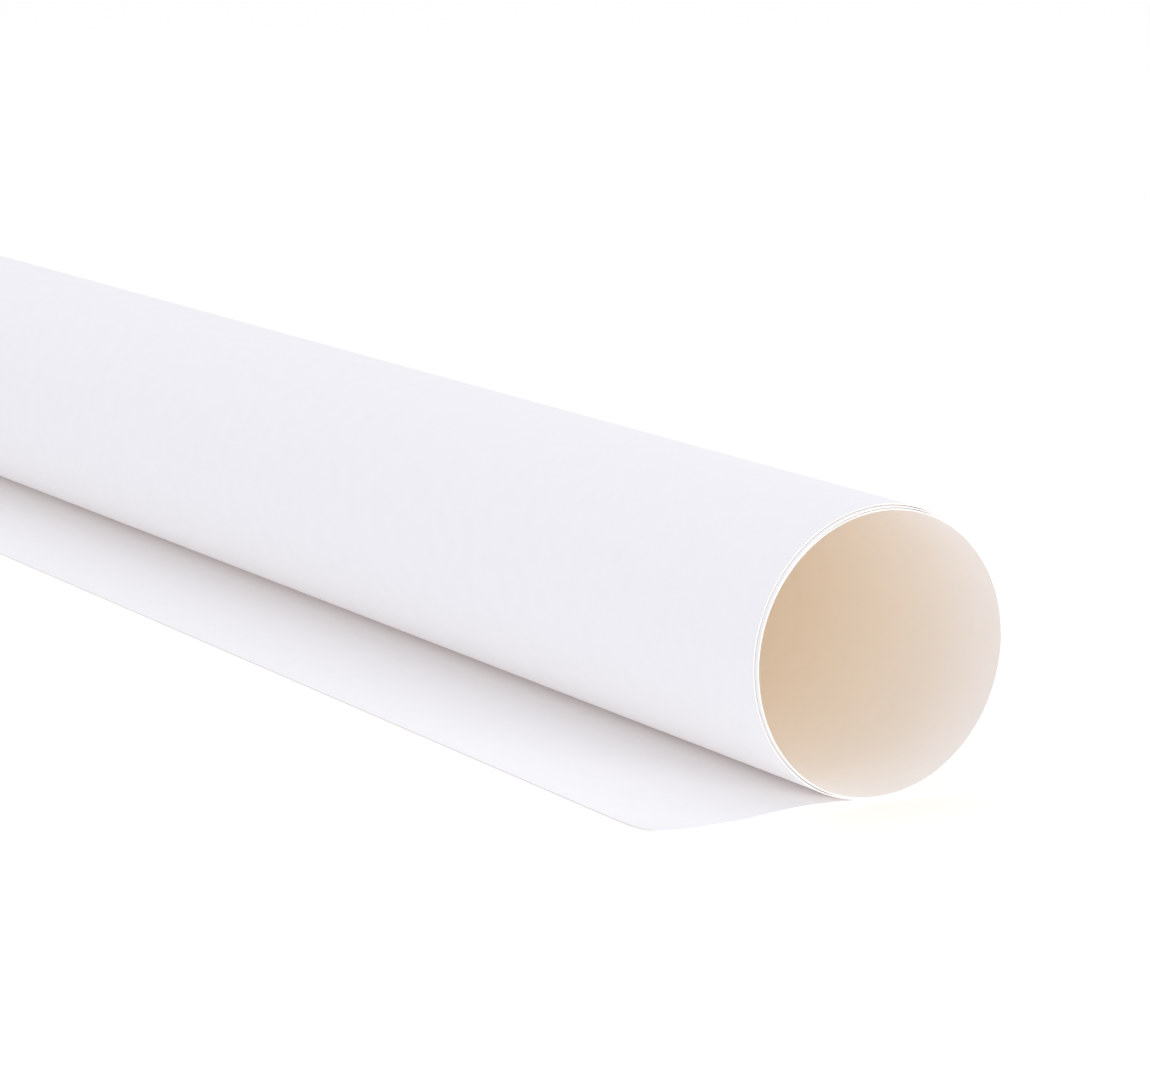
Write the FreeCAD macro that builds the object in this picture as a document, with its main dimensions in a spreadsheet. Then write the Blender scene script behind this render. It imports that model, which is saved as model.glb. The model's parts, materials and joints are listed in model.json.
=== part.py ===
import FreeCAD, Part
import math
import os

import Sketcher

# A backdrop paper roll: one sheet of heavy white paper, wound on itself without a core, its loose end
# lying flat beside the roll as a short tail.
#
# Frame: millimetres, Z up. The roll's axis is Y, through the origin, which is the middle of the bore.
# The tail lies towards -X on the surface that the roll rests on, z = -roll_diameter / 2. From there the
# sheet goes under the roll, up its +X side, over the top and down, lap inside lap.
#
# The sheet has no hinges, but it bends everywhere, so it is divided into panels along bend lines parallel
# to the axis. The outer edge shared by two panels is the line that they turn about when the sheet opens.
# The paper springs outwards, so each lap lies round against the one outside it, and steps inwards to the
# next lap in its last panel, just before it would meet its own beginning.

DRIVING_SIZES = [
    ("sheet_width", 1000, "sheet from side edge to side edge, along the roll"),
    ("sheet_run", 700, "sheet from its loose edge to its inner edge, unrolled"),
    ("roll_diameter", 73, "outside of the outermost lap"),
    ("paper_thickness", 0.3, "one layer of the sheet"),
    ("lap_gap", 0.2, "air between one lap and the next"),
    ("tail_reach", 64, "flat tail from the line where the roll stands to its front corner"),
    ("lap_creep", 1.2, "how far each lap is wound towards -Y of the lap outside it"),
    ("bends_per_lap", 12, "bend lines in one turn"),
    ("bend_gap", 0.05, "clearance between two panels at their bend line"),
]

# How Sketcher counts: the origin is point 1 of geometry -1, and a line starts at 1 and ends at 2.
ORIGIN_POINT = (-1, 1)
START, END = 1, 2

# Formulas in the sizes. Laps and panels are counted from 0 at the tail.
LAP_PITCH = "(Sizes.paper_thickness + Sizes.lap_gap)"
CREEP_SLOPE = "(Sizes.lap_creep / (pi * (Sizes.roll_diameter - Sizes.paper_thickness)))"
FULL_ARC = "(360 deg / Sizes.bends_per_lap)"


def outer_radius(lap):
    """The outside of a lap."""
    return f"(Sizes.roll_diameter / 2 - {LAP_PITCH} * {lap})"


def middle_radius(lap):
    """Half-way through a lap's paper, where its length is measured."""
    return f"({outer_radius(lap)} - Sizes.paper_thickness / 2)"


def arc_left(number, per_lap):
    """The angle of arc that a panel would need to take all the sheet that the panels before it leave."""
    lap = number // per_lap
    steps_in = lap * (number - per_lap * (lap + 1) / 2)
    before = f"2 * pi / Sizes.bends_per_lap * ({number} * {middle_radius(0)} - {steps_in} * {LAP_PITCH})"
    return f"((Sizes.sheet_run - Sizes.tail_reach - {before}) / {middle_radius(lap)} * 180 deg / pi)"


def make_size_table(doc):
    """The spreadsheet that holds the driving sizes, one alias for each."""
    table = doc.addObject("Spreadsheet::Sheet", "Sizes")
    for row, (alias, value, meaning) in enumerate(DRIVING_SIZES, start=1):
        table.set(f"A{row}", alias)
        table.set(f"B{row}", str(value))
        table.set(f"C{row}", meaning)
        table.setAlias(f"B{row}", alias)
    doc.recompute()
    return table


def new_sketch(body, role):
    """An empty sketch on one of a body's own origin planes."""
    sketch = body.newObject("Sketcher::SketchObject", body.Name + "_outline")
    plane = next(plane for plane in body.Origin.OriginFeatures if plane.Role == role)
    sketch.AttachmentSupport = (plane, "")
    sketch.MapMode = "FlatFace"
    return sketch


def draw_loop(sketch, corners):
    """A closed loop of straight lines through the corners; line n runs from corner n to the next."""
    points = [FreeCAD.Vector(x, y, 0) for x, y in corners]
    for start, end in zip(points, points[1:] + points[:1]):
        sketch.addGeometry(Part.LineSegment(start, end))
    for line in range(len(points)):
        following = (line + 1) % len(points)
        sketch.addConstraint(Sketcher.Constraint("Coincident", line, END, following, START))


def bind(sketch, name, direction, geometry, formula):
    """Adds a named dimension to a sketch and ties it to the size table."""
    drawn = float(sketch.evalExpression(formula))
    index = sketch.addConstraint(Sketcher.Constraint(direction, *geometry, drawn))
    sketch.renameConstraint(index, name)
    sketch.setExpression(f"Constraints.{name}", formula)


def make_tail(doc, size):
    """The flat loose end. Its free edge is square to its side edges, which the winding skews a little."""
    body = doc.addObject("PartDesign::Body", "free_tail")
    body.Label = "free_tail"
    sketch = new_sketch(body, "XY_Plane")

    half_width = size("sheet_width") / 2
    skew = size("tail_reach") * size("lap_creep") / (math.pi * size("roll_diameter"))
    draw_loop(sketch, [
        (-size("bend_gap") / 2, -half_width),
        (-size("tail_reach"), -half_width + skew),
        (-size("tail_reach"), half_width + skew),
        (-size("bend_gap") / 2, half_width),
    ])
    front_edge, free_edge, back_edge, contact_edge = range(4)
    sketch.addConstraint(Sketcher.Constraint("Vertical", contact_edge))
    sketch.addConstraint(Sketcher.Constraint("Perpendicular", front_edge, free_edge))
    sketch.addConstraint(Sketcher.Constraint("Parallel", front_edge, back_edge))

    contact_corner = (front_edge, START, *ORIGIN_POINT)
    free_corner = (front_edge, END, *ORIGIN_POINT)
    bind(sketch, "contact", "DistanceX", contact_corner, "Sizes.bend_gap / 2")
    bind(sketch, "front", "DistanceY", contact_corner, "Sizes.sheet_width / 2")
    bind(sketch, "reach", "DistanceX", free_corner, "Sizes.tail_reach")
    bind(sketch, "skewed_front", "DistanceY", free_corner,
         f"Sizes.sheet_width / 2 - Sizes.tail_reach * {CREEP_SLOPE}")
    bind(sketch, "width", "Distance", (free_edge,), "Sizes.sheet_width")

    pad = body.newObject("PartDesign::Pad", "free_tail_thickness")
    pad.Profile = sketch
    pad.setExpression("Length", "Sizes.paper_thickness")
    body.setExpression("Placement.Base.z", "-Sizes.roll_diameter / 2")
    return body


def make_panel(doc, size, number, name, arc):
    """One panel of the winding: a layer of paper bent to an arc of its lap."""
    body = doc.addObject("PartDesign::Body", name)
    body.Label = name
    sketch = new_sketch(body, "YZ_Plane")

    per_lap = int(size("bends_per_lap"))
    lap, place = divmod(number, per_lap)
    half_width = size("sheet_width") / 2
    outside = -size("roll_diameter") / 2
    inside = outside + size("paper_thickness")
    draw_loop(sketch, [
        (-half_width, outside),
        (half_width, outside),
        (half_width, inside),
        (-half_width, inside),
    ])
    outer_line, back_line, inner_line, front_line = range(4)
    for line in (outer_line, inner_line):
        sketch.addConstraint(Sketcher.Constraint("Horizontal", line))
    for line in (back_line, front_line):
        sketch.addConstraint(Sketcher.Constraint("Vertical", line))
    front_corner = (outer_line, START, *ORIGIN_POINT)
    crept = f"Sizes.lap_creep * ({number} + 0.5) / Sizes.bends_per_lap"
    bind(sketch, "width", "DistanceX", (outer_line, START, outer_line, END), "Sizes.sheet_width")
    bind(sketch, "thickness", "DistanceY", (back_line, START, back_line, END), "Sizes.paper_thickness")
    bind(sketch, "radius", "DistanceY", front_corner, outer_radius(lap))
    bind(sketch, "front", "DistanceX", front_corner, f"Sizes.sheet_width / 2 + {crept}")

    # The winding turns from -Z towards +X, which is against the right-hand rule about +Y.
    bend = body.newObject("PartDesign::Revolution", name + "_arc")
    bend.Profile = sketch
    bend.ReferenceAxis = (sketch, ["H_Axis"])
    bend.Reversed = True
    # A lap's last panel leans inwards about its first bend line, so that its far end is one lap further in.
    # Leaning also carries that end forwards, so the panel is shorter by as much.
    lean = "0 deg"
    shorter = "0 deg"
    if place == per_lap - 1:
        lean = f"asin({LAP_PITCH} / {outer_radius(lap)} / sin({FULL_ARC}))"
        shorter = f"{LAP_PITCH} * tan({FULL_ARC} / 2) / {outer_radius(lap)} * 180 deg / pi"
    half_gap = f"(Sizes.bend_gap / 2 / {outer_radius(lap)} * 180 deg / pi)"
    bend.setExpression("Angle", f"{arc} - {shorter} - 2 * {half_gap}")

    first_bend = f"({place} * {FULL_ARC})"
    shift_x = f"{outer_radius(lap)} * (sin({first_bend}) - sin({first_bend} + {lean}))"
    shift_z = f"{outer_radius(lap)} * (cos({first_bend} + {lean}) - cos({first_bend}))"
    turned = f"{first_bend} + {lean} + {half_gap}"
    body.setExpression(
        "Placement",
        f"placement(vector({shift_x}; 0; {shift_z}); vector(0; -1; 0); {turned})",
    )
    return body


def make_winding(doc, table, size):
    """Every panel from the tail to the sheet's inner edge, named by lap from the tail inwards.

    The last panel takes what is left of the sheet. A rest shorter than a quarter of a full panel
    isn't a panel of its own, but makes the one before it longer.
    """
    per_lap = int(size("bends_per_lap"))
    last = 0
    while float(table.evalExpression(f"{arc_left(last, per_lap)} / {FULL_ARC}")) >= 1.25:
        last += 1

    panels = []
    for number in range(last + 1):
        lap, place = divmod(number, per_lap)
        name = f"lap_{lap + 1}_panel_{place + 1:02d}"
        arc = arc_left(last, per_lap) if number == last else FULL_ARC
        panels.append(make_panel(doc, size, number, name, arc))
    return panels


def check(doc, bodies):
    """Stops if any object failed to compute, or any piece isn't one valid solid."""
    for item in doc.Objects:
        if {"Invalid", "Error"} & set(item.State):
            raise RuntimeError(f"{item.Label} failed: {item.State}")
    for body in bodies:
        shape = body.Shape
        if shape.isNull() or not shape.isValid() or len(shape.Solids) != 1:
            raise RuntimeError(f"{body.Label} isn't one valid solid")


def build():
    doc = FreeCAD.newDocument("backdrop_paper_roll")
    table = make_size_table(doc)

    def size(alias):
        return float(table.get(alias))

    bodies = [make_tail(doc, size)] + make_winding(doc, table, size)
    doc.recompute()
    check(doc, bodies)
    os.makedirs("parts", exist_ok=True)
    for body in bodies:
        body.Shape.exportStep(f"parts/{body.Label}.step")
        box = body.Shape.BoundBox
        print(f"{body.Label}: {body.Shape.Volume:.1f} mm3, x {box.XMin:.2f} to {box.XMax:.2f},"
              f" y {box.YMin:.2f} to {box.YMax:.2f}, z {box.ZMin:.2f} to {box.ZMax:.2f}")


build()
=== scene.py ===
import json
import math

import bpy
from mathutils import Matrix, Vector


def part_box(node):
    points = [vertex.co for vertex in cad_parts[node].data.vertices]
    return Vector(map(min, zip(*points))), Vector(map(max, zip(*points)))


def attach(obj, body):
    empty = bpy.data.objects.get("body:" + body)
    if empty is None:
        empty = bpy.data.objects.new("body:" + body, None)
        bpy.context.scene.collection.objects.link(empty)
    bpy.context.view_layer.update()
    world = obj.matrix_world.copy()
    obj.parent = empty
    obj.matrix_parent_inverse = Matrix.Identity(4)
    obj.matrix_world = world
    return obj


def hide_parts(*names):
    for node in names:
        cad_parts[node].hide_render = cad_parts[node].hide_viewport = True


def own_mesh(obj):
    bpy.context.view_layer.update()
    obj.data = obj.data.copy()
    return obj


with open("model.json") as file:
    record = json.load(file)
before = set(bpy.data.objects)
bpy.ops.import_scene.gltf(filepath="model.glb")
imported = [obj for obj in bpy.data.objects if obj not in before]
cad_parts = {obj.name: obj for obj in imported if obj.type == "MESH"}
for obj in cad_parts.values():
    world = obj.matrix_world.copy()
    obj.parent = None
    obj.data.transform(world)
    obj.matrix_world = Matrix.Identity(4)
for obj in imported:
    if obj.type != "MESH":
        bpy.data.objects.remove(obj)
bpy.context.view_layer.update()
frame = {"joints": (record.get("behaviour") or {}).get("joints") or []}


# ---- The paper --------------------------------------------------------------------------------------
# Heavy wood-free paper, bright white on both sides, matt and uncoated. It is one B1 sheet with four
# guillotined edges. Everything that shows is this paper, so its finish comes first.

BRIGHT_WHITE = "F0F0F7"
OUTER_REFLECTED = "F9F6F4"
INNER_REFLECTED = "FAF1E0"
# The cut edges are painted a light grey, darker than the paper's own white. This is painted shade, so the
# edges that face the front show shaded rather than bright.
EDGE_PAINTED_SHADE_GREY = "DEDCDD"

# Sizes of what the eye can find in such paper. Real fibres are 0.02 to 0.05 mm wide, which is too fine
# to show at arm's length, so the tooth stands for clumps of them.
TOOTH_SIZE = 0.0007
TOOTH_DEPTH = 0.000004
CLOUD_SIZE = 0.006
CLOUD_SHARE = 0.018
STREAK_WIDTH = 0.005
STREAK_LENGTH = 0.260
STREAK_DEPTH = 0.000012
# Nearly all the values of a noise texture lie between these two.
NOISE_LOW = 0.3
NOISE_HIGH = 0.7

PAPER_SMOOTHEST = 0.82
PAPER_ROUGHEST = 0.95
PAPER_IOR = 1.5
PAPER_SPECULAR = 0.3
FIBRE_SHEEN = 0.05
FIBRE_SHEEN_ROUGHNESS = 0.6


def linear_colour(hex_code):
    """An sRGB hex code as the linear colour that a node wants."""
    channels = [int(hex_code[i:i + 2], 16) / 255 for i in (0, 2, 4)]
    return [c / 12.92 if c <= 0.04045 else ((c + 0.055) / 1.055) ** 2.4 for c in channels] + [1.0]


def add_node(tree, kind, settings=None, inputs=None):
    """Adds a node with its settings. An input is a value, or the socket or node that feeds it."""
    node = tree.nodes.new(kind)
    for name, value in (settings or {}).items():
        setattr(node, name, value)
    for key, value in (inputs or {}).items():
        if isinstance(value, bpy.types.Node):
            value = value.outputs[0]
        if isinstance(value, bpy.types.NodeSocket):
            tree.links.new(value, node.inputs[key])
        else:
            node.inputs[key].default_value = value
    return node


def make_paper(name, white_hex, reflected_hex):
    """Uncoated wood-free paper: a matt white with a fine tooth, faint clouds and streaks along the roll.

    Such paper is whitened with optical brighteners, which need the ultraviolet in fresh light. Light that
    paper has already reflected has little left, and shows the natural cream of the fibres. A shader can't
    tell fresh light from used light, so this is a stand-in: the camera always sees white paper, and the
    light that goes on from paper to something else takes the cream.
    """
    material = bpy.data.materials.new(name)
    material.use_nodes = True
    tree = material.node_tree
    tree.nodes.clear()
    sheet = add_node(tree, "ShaderNodeUVMap", {"uv_map": "sheet"})

    # Clouds: the fibres lie a little thicker here and thinner there, a few millimetres across.
    clouds = add_node(tree, "ShaderNodeTexNoise", {"noise_dimensions": "2D"},
                      {"Vector": sheet, "Scale": 1 / CLOUD_SIZE, "Detail": 3.0, "Roughness": 0.6})
    shade = add_node(tree, "ShaderNodeMapRange", None,
                     {"Value": clouds, "From Min": NOISE_LOW, "From Max": NOISE_HIGH,
                      "To Min": 1 - CLOUD_SHARE, "To Max": 1.0})
    colour = add_node(tree, "ShaderNodeMix", {"data_type": "RGBA", "blend_type": "MULTIPLY"},
                      {"Factor": 1.0, 6: linear_colour(white_hex), 7: shade.outputs["Result"]})

    # Streaks: the sheet cockles very slightly along the roll while it is kept wound.
    long_way = add_node(tree, "ShaderNodeMapping", None,
                        {"Vector": sheet, "Scale": (1 / STREAK_WIDTH, 1 / STREAK_LENGTH, 1.0)})
    streaks = add_node(tree, "ShaderNodeTexNoise", {"noise_dimensions": "2D"},
                       {"Vector": long_way, "Scale": 1.0, "Detail": 2.0, "Roughness": 0.5})
    tooth = add_node(tree, "ShaderNodeTexNoise", {"noise_dimensions": "2D"},
                     {"Vector": sheet, "Scale": 1 / TOOTH_SIZE, "Detail": 4.0, "Roughness": 0.65})
    cockled = add_node(tree, "ShaderNodeBump", None,
                       {"Strength": 1.0, "Distance": STREAK_DEPTH, "Height": streaks})
    surface = add_node(tree, "ShaderNodeBump", None,
                       {"Strength": 1.0, "Distance": TOOTH_DEPTH, "Height": tooth, "Normal": cockled})

    # The tooth scatters what little gloss the paper has, so its roughness varies with it.
    roughness = add_node(tree, "ShaderNodeMapRange", None,
                         {"Value": tooth, "From Min": NOISE_LOW, "From Max": NOISE_HIGH,
                          "To Min": PAPER_SMOOTHEST, "To Max": PAPER_ROUGHEST})
    seen = add_node(tree, "ShaderNodeBsdfPrincipled", None,
                    {"Base Color": colour.outputs[2], "Roughness": roughness.outputs["Result"],
                     "Normal": surface, "IOR": PAPER_IOR, "Specular IOR Level": PAPER_SPECULAR,
                     "Sheen Weight": FIBRE_SHEEN, "Sheen Roughness": FIBRE_SHEEN_ROUGHNESS})
    passed_on = add_node(tree, "ShaderNodeBsdfDiffuse", None, {"Color": linear_colour(reflected_hex)})
    path = add_node(tree, "ShaderNodeLightPath")
    paper = add_node(tree, "ShaderNodeMixShader", None,
                     {0: path.outputs["Is Camera Ray"], 1: passed_on, 2: seen})
    add_node(tree, "ShaderNodeOutputMaterial", None, {"Surface": paper})
    return material


outer_side = make_paper("wood_free_paper_uncoated_outer_side", BRIGHT_WHITE, OUTER_REFLECTED)
inner_side = make_paper("wood_free_paper_uncoated_inner_side", BRIGHT_WHITE, INNER_REFLECTED)
# The cut edges take the grey of painted shade, not the paper's white.
cut_edge_painted_shade = make_paper("wood_free_paper_guillotined_edge_painted_shade", EDGE_PAINTED_SHADE_GREY, INNER_REFLECTED)


# ---- The wound laps ---------------------------------------------------------------------------------
# The sheet is wound on itself with no core: lap 1 is the outside and lap 3 lines the bore. Each stretch
# between two bend lines is a piece on its own body.

SHEET_WIDTH = 1.000
SHEET_RUN = 0.700
LAP_GAP = 0.0002
LAP_CREEP = 0.0012
OUT_OF_ROUND = 0.00018
DENTS_ROUND = 1.1
DENTS_ALONG = 3.0
DENT_SEED = 7.0
# The cosine of the angle, from the line where the roll stands, past which the dents are at full depth.
DENTS_FULL = 0.2
# The start of the winding draws back from the rim between these two turns, by this much.
BEGUN_FROM = 2.30
BEGUN_TO = 2.83
BEGUN_STRAIGHTER = 0.0022
SEGMENTS_ROUND = 14
SEGMENTS_ALONG = 80

tail_low, tail_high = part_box("free_tail")
PAPER_THICKNESS = tail_high.z - tail_low.z
ROLL_RADIUS = -tail_low.z
TAIL_REACH = -tail_low.x
LAP_PITCH = PAPER_THICKNESS + LAP_GAP
panel_names = [joint["child"] for joint in frame["joints"]]
bend_lines = [Vector(joint["pos_m"]) for joint in frame["joints"]]
BENDS_PER_LAP = sum(name.startswith("lap_1_") for name in panel_names)
PANEL_ARC = 2 * math.pi / BENDS_PER_LAP


def start_tree(name, input_names, columns, rows):
    """A tree with these named inputs and a flat unit grid, with the tree's inputs and the grid's points."""
    tree = bpy.data.node_groups.new(name, "GeometryNodeTree")
    tree.is_modifier = True
    for input_name in input_names:
        tree.interface.new_socket(input_name, in_out="INPUT", socket_type="NodeSocketFloat")
    tree.interface.new_socket("Sheet", in_out="OUTPUT", socket_type="NodeSocketGeometry")
    given = add_node(tree, "NodeGroupInput").outputs
    grid = add_node(tree, "GeometryNodeMeshGrid", None,
                    {"Size X": 1.0, "Size Y": 1.0, "Vertices X": columns + 1, "Vertices Y": rows + 1})
    corner = add_node(tree, "ShaderNodeSeparateXYZ", None, {0: add_node(tree, "GeometryNodeInputPosition")})
    return tree, given, grid, corner


def bend_sheet(tree, grid, point, run, along):
    """Ends a tree: moves the grid to its points, turns its outside outwards and gives it the paper."""
    # The flat sheet's own coordinates in metres, along its run and from side edge to side edge, are kept
    # before the grid is bent, because they come from where its points lie.
    flat = add_node(tree, "ShaderNodeCombineXYZ", None, {"X": run, "Y": along})
    marked = add_node(tree, "GeometryNodeStoreNamedAttribute",
                      {"data_type": "FLOAT2", "domain": "CORNER"},
                      {"Geometry": grid, "Name": "sheet", "Value": flat})
    placed = add_node(tree, "GeometryNodeSetPosition", None, {"Geometry": marked, "Position": point})
    outward = add_node(tree, "GeometryNodeFlipFaces", None, {"Mesh": placed})

    # Smooth faces, with the border kept sharp for the cut edge.
    smooth = add_node(tree, "GeometryNodeSetShadeSmooth", None, {"Geometry": outward})
    faces_at_edge = add_node(tree, "GeometryNodeInputMeshEdgeNeighbors")
    border = add_node(tree, "FunctionNodeCompare", {"data_type": "INT", "operation": "EQUAL"},
                      {2: faces_at_edge, 3: 1})
    crisp = add_node(tree, "GeometryNodeSetShadeSmooth", {"domain": "EDGE"},
                     {"Geometry": smooth, "Selection": border, "Shade Smooth": False})
    real = add_node(tree, "GeometryNodeRealizeInstances", None, {"Geometry": crisp})
    finished = add_node(tree, "GeometryNodeSetMaterial", None, {"Geometry": real, "Material": outer_side})
    add_node(tree, "NodeGroupOutput", None, {"Sheet": finished})


def make_panel_tree():
    """A stretch of the winding as one open surface, the outside of the paper, in the roll's own place."""
    tree, given, grid, corner = start_tree(
        "wound_panel",
        ("First angle", "Last angle", "Roll radius", "Lap pitch", "Lap creep", "Sheet width", "Tail reach",
         "Step start", "Out of round", "Begun from", "Begun to", "Begun straighter"),
        SEGMENTS_ROUND, SEGMENTS_ALONG)

    # The grid's columns bunch up near both ends, so that the shading runs on from panel to panel.
    half_turn = add_node(tree, "ShaderNodeMath", {"operation": "MULTIPLY_ADD"},
                         {0: corner.outputs["X"], 1: math.pi, 2: math.pi / 2})
    swing = add_node(tree, "ShaderNodeMath", {"operation": "COSINE"}, {0: half_turn})
    angle = add_node(tree, "ShaderNodeMapRange", None,
                     {"Value": swing, "From Min": 1.0, "From Max": -1.0,
                      "To Min": given["First angle"], "To Max": given["Last angle"]})
    angle = angle.outputs["Result"]

    # Each lap is round, and steps in to the next lap in its last panel.
    turns = add_node(tree, "ShaderNodeMath", {"operation": "DIVIDE"}, {0: angle, 1: 2 * math.pi})
    whole = add_node(tree, "ShaderNodeMath", {"operation": "FLOOR"}, {0: turns})
    part = add_node(tree, "ShaderNodeMath", {"operation": "FRACT"}, {0: turns})
    step = add_node(tree, "ShaderNodeMapRange", {"interpolation_type": "SMOOTHSTEP"},
                    {"Value": part, "From Min": given["Step start"], "From Max": 1.0})
    laps_in = add_node(tree, "ShaderNodeMath", {"operation": "ADD"}, {0: whole, 1: step.outputs["Result"]})
    wound_in = add_node(tree, "ShaderNodeMath", {"operation": "MULTIPLY"},
                        {0: laps_in, 1: given["Lap pitch"]})
    round_radius = add_node(tree, "ShaderNodeMath", {"operation": "SUBTRACT"},
                            {0: given["Roll radius"], 1: wound_in})

    # The sheet's place along the roll, which creeps towards -Y with each lap. The start of the winding,
    # which is the last half turn of the inmost lap, was begun straighter and lies back from the rim.
    begun = add_node(tree, "ShaderNodeMapRange", {"interpolation_type": "SMOOTHSTEP"},
                     {"Value": turns, "From Min": given["Begun from"], "From Max": given["Begun to"],
                      "To Max": given["Begun straighter"]})
    crept = add_node(tree, "ShaderNodeMath", {"operation": "MULTIPLY_ADD"},
                     {0: turns, 1: given["Lap creep"], 2: begun.outputs["Result"]})
    along = add_node(tree, "ShaderNodeMath", {"operation": "MULTIPLY"},
                     {0: corner.outputs["Y"], 1: given["Sheet width"]})
    place = add_node(tree, "ShaderNodeMath", {"operation": "SUBTRACT"}, {0: along, 1: crept})

    # Handling leaves long, shallow dents that all the laps share, and none where the roll stands.
    sine = add_node(tree, "ShaderNodeMath", {"operation": "SINE"}, {0: angle})
    cosine = add_node(tree, "ShaderNodeMath", {"operation": "COSINE"}, {0: angle})
    round_about = add_node(tree, "ShaderNodeCombineXYZ", None, {"X": sine, "Y": place, "Z": cosine})
    stretched = add_node(tree, "ShaderNodeVectorMath", {"operation": "MULTIPLY"},
                         {0: round_about, 1: (DENTS_ROUND, DENTS_ALONG, DENTS_ROUND)})
    dents = add_node(tree, "ShaderNodeTexNoise", {"noise_dimensions": "4D"},
                     {"Vector": stretched, "W": DENT_SEED, "Scale": 1.0, "Detail": 1.0})
    off_floor = add_node(tree, "ShaderNodeMapRange", {"interpolation_type": "SMOOTHSTEP"},
                         {"Value": cosine, "From Min": 1.0, "From Max": DENTS_FULL})
    dent = add_node(tree, "ShaderNodeMath", {"operation": "SUBTRACT"}, {0: dents, 1: 0.5})
    depth = add_node(tree, "ShaderNodeMath", {"operation": "MULTIPLY"},
                     {0: off_floor.outputs["Result"], 1: given["Out of round"]})
    radius = add_node(tree, "ShaderNodeMath", {"operation": "MULTIPLY_ADD"},
                      {0: dent, 1: depth, 2: round_radius})

    across = add_node(tree, "ShaderNodeMath", {"operation": "MULTIPLY"}, {0: radius, 1: sine})
    down = add_node(tree, "ShaderNodeMath", {"operation": "MULTIPLY"}, {0: radius, 1: cosine})
    up = add_node(tree, "ShaderNodeMath", {"operation": "MULTIPLY"}, {0: down, 1: -1.0})
    point = add_node(tree, "ShaderNodeCombineXYZ", None, {"X": across, "Y": place, "Z": up})

    run = add_node(tree, "ShaderNodeMath", {"operation": "MULTIPLY_ADD"},
                   {0: angle, 1: given["Roll radius"], 2: given["Tail reach"]})
    bend_sheet(tree, grid, point, run, along)
    return tree


def run_tree(name, tree, values):
    """Gives an object the result of a tree with these input values, as a plain mesh."""
    piece = bpy.data.objects.new(name, bpy.data.meshes.new(name))
    bpy.context.scene.collection.objects.link(piece)
    modifier = piece.modifiers.new("shape", "NODES")
    modifier.node_group = tree
    for socket in tree.interface.items_tree:
        if socket.in_out == "INPUT":
            modifier[socket.identifier] = values[socket.name]
    graph = bpy.context.evaluated_depsgraph_get()
    mesh = bpy.data.meshes.new_from_object(piece.evaluated_get(graph), preserve_all_data_layers=True,
                                           depsgraph=graph)
    piece.modifiers.remove(modifier)
    piece.data = mesh
    return piece


def give_thickness(piece, other_side):
    """Makes a surface into a sheet with this paper on its other side, and with cut edges."""
    for material in (other_side, cut_edge_painted_shade):
        piece.data.materials.append(material)
    solid = piece.modifiers.new("paper", "SOLIDIFY")
    solid.thickness = PAPER_THICKNESS
    solid.offset = -1.0
    solid.material_offset = 1
    solid.material_offset_rim = 2


def wind_panels():
    """Every panel of the winding, from the tail inwards. The last one ends at the sheet's inner edge."""
    tree = make_panel_tree()
    run_left = SHEET_RUN - TAIL_REACH
    for number, (name, bend_line) in enumerate(zip(panel_names, bend_lines)):
        middle_radius = ROLL_RADIUS - PAPER_THICKNESS / 2 - LAP_PITCH * (number // BENDS_PER_LAP)
        is_last = number == len(panel_names) - 1
        arc = run_left / middle_radius if is_last else PANEL_ARC
        first_angle = number * PANEL_ARC
        panel = run_tree("paper_" + name, tree, {
            "First angle": first_angle,
            "Last angle": first_angle + arc,
            "Roll radius": ROLL_RADIUS,
            "Lap pitch": LAP_PITCH,
            "Lap creep": LAP_CREEP,
            "Sheet width": SHEET_WIDTH,
            "Tail reach": TAIL_REACH,
            "Step start": 1 - 1 / BENDS_PER_LAP,
            "Out of round": OUT_OF_ROUND,
            "Begun from": BEGUN_FROM,
            "Begun to": BEGUN_TO,
            "Begun straighter": -BEGUN_STRAIGHTER,
        })
        give_thickness(panel, inner_side)
        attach(panel, name)
        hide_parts(name)
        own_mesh(panel)
        run_left -= arc * middle_radius


wind_panels()


# ---- The free tail ----------------------------------------------------------------------------------
# The sheet's loose end, which lies beside the roll. It leaves the roll flat on the table, arches a
# little where the winding still pulls on it, and its near corner has lifted from being picked up.

ARCH_HEIGHT = 0.0009
ARCH_SHARE = 0.65
ARCH_FADE = 0.30
ARCH_LEFT = 0.35
CORNER_LIFT = 0.0010
CORNER_SIZE = 0.016
TAIL_SEGMENTS = 48
TAIL_SEGMENTS_ALONG = 200
CREEP_SLOPE = LAP_CREEP / (2 * math.pi * ROLL_RADIUS)


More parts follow.
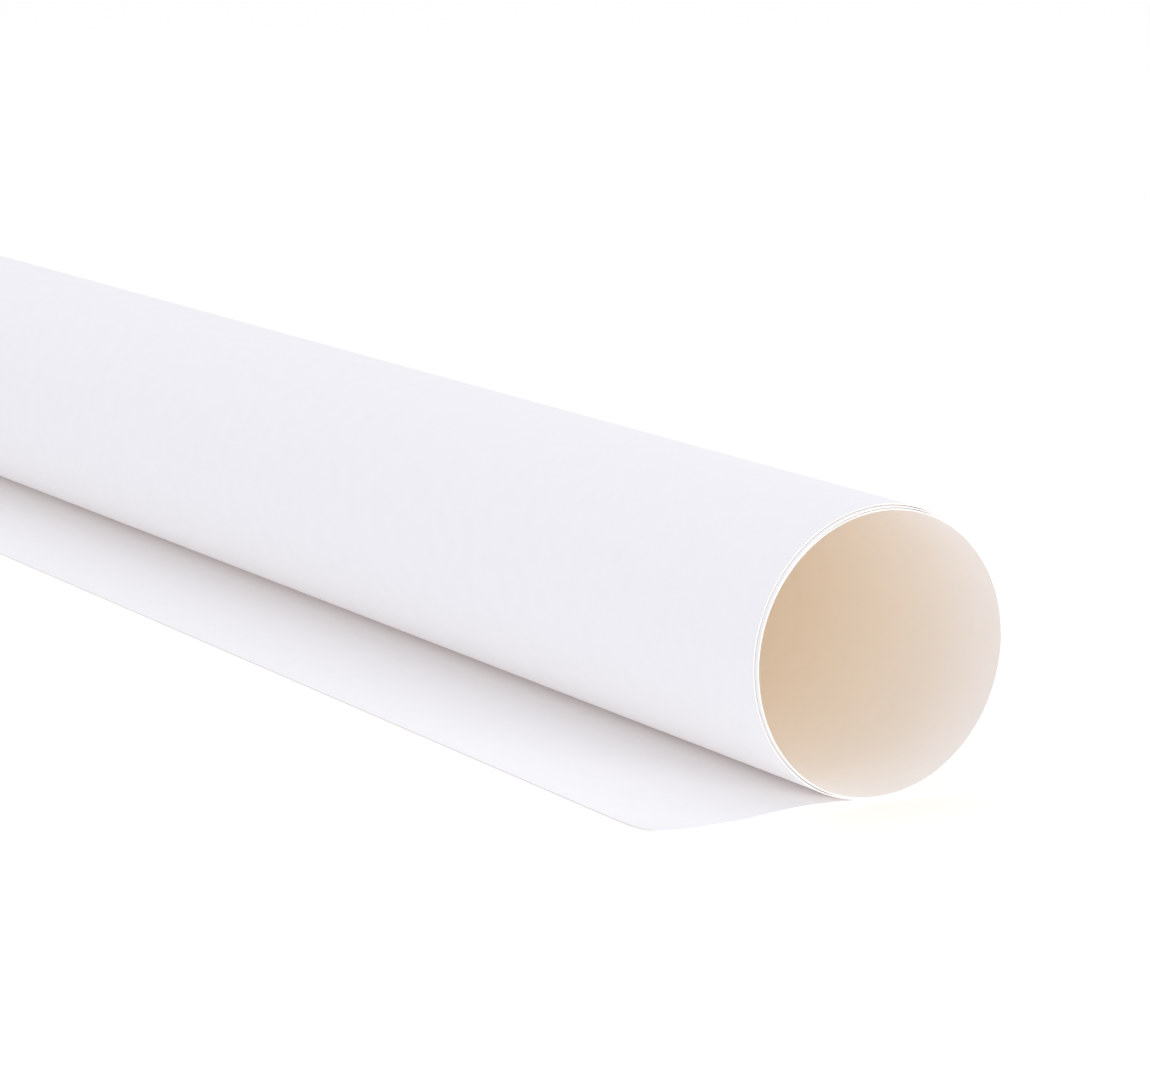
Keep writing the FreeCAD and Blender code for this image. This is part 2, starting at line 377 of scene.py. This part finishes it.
def make_tail_tree():
    """The tail's underside as one open surface, with its free edge square to its side edges."""
    tree, given, grid, corner = start_tree(
        "free_tail",
        ("Reach", "Sheet width", "Floor", "Slope", "Arch height", "Arch share", "Arch fade", "Arch left",
         "Corner lift", "Corner size"),
        TAIL_SEGMENTS, TAIL_SEGMENTS_ALONG)

    # Where a point of the sheet lies: out from the roll, and along it. The side edges drift with the creep.
    out_share = add_node(tree, "ShaderNodeMath", {"operation": "SUBTRACT"}, {0: 0.5, 1: corner.outputs["X"]})
    along = add_node(tree, "ShaderNodeMath", {"operation": "MULTIPLY"},
                     {0: corner.outputs["Y"], 1: given["Sheet width"]})
    from_front = add_node(tree, "ShaderNodeMath", {"operation": "MULTIPLY_ADD"},
                          {0: given["Sheet width"], 1: 0.5, 2: along})
    squared = add_node(tree, "ShaderNodeMath", {"operation": "MULTIPLY"}, {0: from_front, 1: given["Slope"]})
    reach = add_node(tree, "ShaderNodeMath", {"operation": "SUBTRACT"}, {0: given["Reach"], 1: squared})
    out = add_node(tree, "ShaderNodeMath", {"operation": "MULTIPLY"}, {0: out_share, 1: reach})
    place = add_node(tree, "ShaderNodeMath", {"operation": "MULTIPLY_ADD"},
                     {0: out, 1: given["Slope"], 2: along})

    # The arch: no slope where the sheet leaves the roll and where it comes down. It fades along the roll
    # to the share that is left.
    arch_place = add_node(tree, "ShaderNodeMath", {"operation": "DIVIDE", "use_clamp": True},
                          {0: out_share, 1: given["Arch share"]})
    arch_angle = add_node(tree, "ShaderNodeMath", {"operation": "MULTIPLY"}, {0: arch_place, 1: math.pi})
    arch_sine = add_node(tree, "ShaderNodeMath", {"operation": "SINE"}, {0: arch_angle})
    arch_shape = add_node(tree, "ShaderNodeMath", {"operation": "MULTIPLY"}, {0: arch_sine, 1: arch_sine})
    arch_fade = add_node(tree, "ShaderNodeMapRange", {"interpolation_type": "SMOOTHSTEP"},
                         {"Value": from_front, "From Min": 0.0, "From Max": given["Arch fade"],
                          "To Min": 1.0, "To Max": given["Arch left"]})
    arch_here = add_node(tree, "ShaderNodeMath", {"operation": "MULTIPLY"},
                         {0: arch_fade.outputs["Result"], 1: given["Arch height"]})
    arch = add_node(tree, "ShaderNodeMath", {"operation": "MULTIPLY"}, {0: arch_shape, 1: arch_here})

    # The lifted corner: it rises with the square of how far a point is inside the corner's fold.
    from_free = add_node(tree, "ShaderNodeMath", {"operation": "SUBTRACT"}, {0: reach, 1: out})
    from_corner = add_node(tree, "ShaderNodeMath", {"operation": "ADD"}, {0: from_free, 1: from_front})
    lift_place = add_node(tree, "ShaderNodeMapRange", None,
                          {"Value": from_corner, "From Min": given["Corner size"], "From Max": 0.0})
    lift_place = lift_place.outputs["Result"]
    lift_shape = add_node(tree, "ShaderNodeMath", {"operation": "MULTIPLY"}, {0: lift_place, 1: lift_place})
    height = add_node(tree, "ShaderNodeMath", {"operation": "MULTIPLY_ADD"},
                      {0: lift_shape, 1: given["Corner lift"], 2: arch})

    left = add_node(tree, "ShaderNodeMath", {"operation": "MULTIPLY"}, {0: out, 1: -1.0})
    raised = add_node(tree, "ShaderNodeMath", {"operation": "ADD"}, {0: height, 1: given["Floor"]})
    point = add_node(tree, "ShaderNodeCombineXYZ", None, {"X": left, "Y": place, "Z": raised})

    bend_sheet(tree, grid, point, from_free, along)
    return tree


tail = run_tree("paper_tail", make_tail_tree(), {
    "Reach": TAIL_REACH,
    "Sheet width": SHEET_WIDTH,
    "Floor": tail_low.z,
    "Slope": CREEP_SLOPE,
    "Arch height": ARCH_HEIGHT,
    "Arch share": ARCH_SHARE,
    "Arch fade": ARCH_FADE,
    "Arch left": ARCH_LEFT,
    "Corner lift": CORNER_LIFT,
    "Corner size": CORNER_SIZE,
})
give_thickness(tail, outer_side)
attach(tail, "root")
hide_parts("free_tail")


# ---- The table --------------------------------------------------------------------------------------
# Not part of the object: a table top of white acrylic, lit a little from below so that it shows as plain
# white. It lies just under the paper, clear of the tail's underside.

TABLE_SIZE = 12.0
TABLE_DROP = 0.00015
TABLE_WHITE = "FCFCFC"
TABLE_ROUGHNESS = 0.9
TABLE_SPECULAR = 0.1
TABLE_GLOW = 0.10
TABLE_GLOW_WHITE = "FFFFFF"


def make_table():
    """One square of table, with its face up."""
    half = TABLE_SIZE / 2
    height = tail_low.z - TABLE_DROP
    corners = [(x * half, y * half, height) for x, y in ((-1, -1), (1, -1), (1, 1), (-1, 1))]
    mesh = bpy.data.meshes.new("table_top")
    mesh.from_pydata(corners, [], [(0, 1, 2, 3)])
    table = bpy.data.objects.new("table_top", mesh)
    bpy.context.scene.collection.objects.link(table)
    material = bpy.data.materials.new("white_acrylic_light_table")
    material.use_nodes = True
    shader = material.node_tree.nodes["Principled BSDF"]
    shader.inputs["Base Color"].default_value = linear_colour(TABLE_WHITE)
    shader.inputs["Roughness"].default_value = TABLE_ROUGHNESS
    shader.inputs["Specular IOR Level"].default_value = TABLE_SPECULAR
    shader.inputs["Emission Color"].default_value = linear_colour(TABLE_GLOW_WHITE)
    shader.inputs["Emission Strength"].default_value = TABLE_GLOW
    mesh.materials.append(material)


make_table()


# ---- Light and camera -------------------------------------------------------------------------------
# Even studio light: a white surround, a very large soft box overhead, a cool one on the left, and a small
# one that looks into the bore. The camera stands low in front of the open end, to the left of it.

SURROUND_LIGHT = 0.68
SURROUND_SEEN = 1.2
SURROUND_WHITE = "FFFFFF"
BOUNCES = 16
# Above 1 it lifts the picture's middle tones, which softens the contrast.
DISPLAY_GAMMA = 1.4
NEAR_END = Vector((0, -SHEET_WIDTH / 2, 0))

SOFT_BOXES = [
    # name, azimuth and elevation as seen from the near end, distance, side, power, colour
    ("overhead_light", 0, 88, 10.0, 10.0, 360.0, "FCFCFF"),
    ("left_light", -78, 10, 5.0, 1.6, 9.0, "CEDBFF"),
    ("bore_light", 9, 3, 1.5, 0.35, 20.0, "FFFEFC"),
]
CAMERA_AZIMUTH = -31.2
CAMERA_ELEVATION = 11.38
CAMERA_ROLL = -0.26
CAMERA_OFFSET = Vector((-0.5610, -0.7858, 0.2236))
CAMERA_LENS = 128.15
SENSOR_WIDTH = 36.0
CAMERA_RANGE = 100.0


def direction(azimuth, elevation):
    """The way from the object towards something at this azimuth and elevation, in degrees."""
    a, e = math.radians(azimuth), math.radians(elevation)
    return Vector((math.sin(a) * math.cos(e), -math.cos(a) * math.cos(e), math.sin(e)))


def aim(obj, place, back, roll=0.0):
    """Puts a lamp or camera at a place, looking against `back`, turned by roll degrees."""
    right = Vector((0, 0, 1)).cross(back).normalized()
    up = back.cross(right)
    turn = Matrix((right, up, back)).transposed().to_4x4()
    obj.matrix_world = Matrix.Translation(place) @ turn @ Matrix.Rotation(math.radians(roll), 4, "Z")


def set_surround():
    """White all round: full white to the eye, and dimmer as a light."""
    world = bpy.data.worlds.new("white_surround")
    bpy.context.scene.world = world
    world.use_nodes = True
    tree = world.node_tree
    tree.nodes.clear()
    path = add_node(tree, "ShaderNodeLightPath")
    strength = add_node(tree, "ShaderNodeMapRange", None,
                        {"Value": path.outputs["Is Camera Ray"], "To Min": SURROUND_LIGHT,
                         "To Max": SURROUND_SEEN})
    white = add_node(tree, "ShaderNodeBackground", None,
                     {"Color": linear_colour(SURROUND_WHITE), "Strength": strength.outputs["Result"]})
    add_node(tree, "ShaderNodeOutputWorld", None, {"Surface": white})


def light_stage():
    """The soft boxes, all of them square and aimed at the open end."""
    for name, azimuth, elevation, distance, side, power, colour in SOFT_BOXES:
        lamp = bpy.data.lights.new(name, "AREA")
        lamp.shape = "SQUARE"
        lamp.size = side
        lamp.energy = power
        lamp.color = linear_colour(colour)[:3]
        box = bpy.data.objects.new(name, lamp)
        bpy.context.scene.collection.objects.link(box)
        back = direction(azimuth, elevation)
        aim(box, NEAR_END + back * distance, back)


def place_camera():
    """A long lens, with nothing out of focus."""
    camera = bpy.data.cameras.new("camera")
    camera.lens = CAMERA_LENS
    camera.sensor_width = SENSOR_WIDTH
    camera.clip_end = CAMERA_RANGE
    holder = bpy.data.objects.new("camera", camera)
    bpy.context.scene.collection.objects.link(holder)
    aim(holder, NEAR_END + CAMERA_OFFSET, direction(CAMERA_AZIMUTH, CAMERA_ELEVATION), CAMERA_ROLL)
    bpy.context.scene.camera = holder


set_surround()
light_stage()
place_camera()
bpy.context.scene.view_settings.view_transform = "Standard"
bpy.context.scene.view_settings.gamma = DISPLAY_GAMMA
bpy.context.scene.cycles.max_bounces = BOUNCES
bpy.context.scene.cycles.diffuse_bounces = BOUNCES
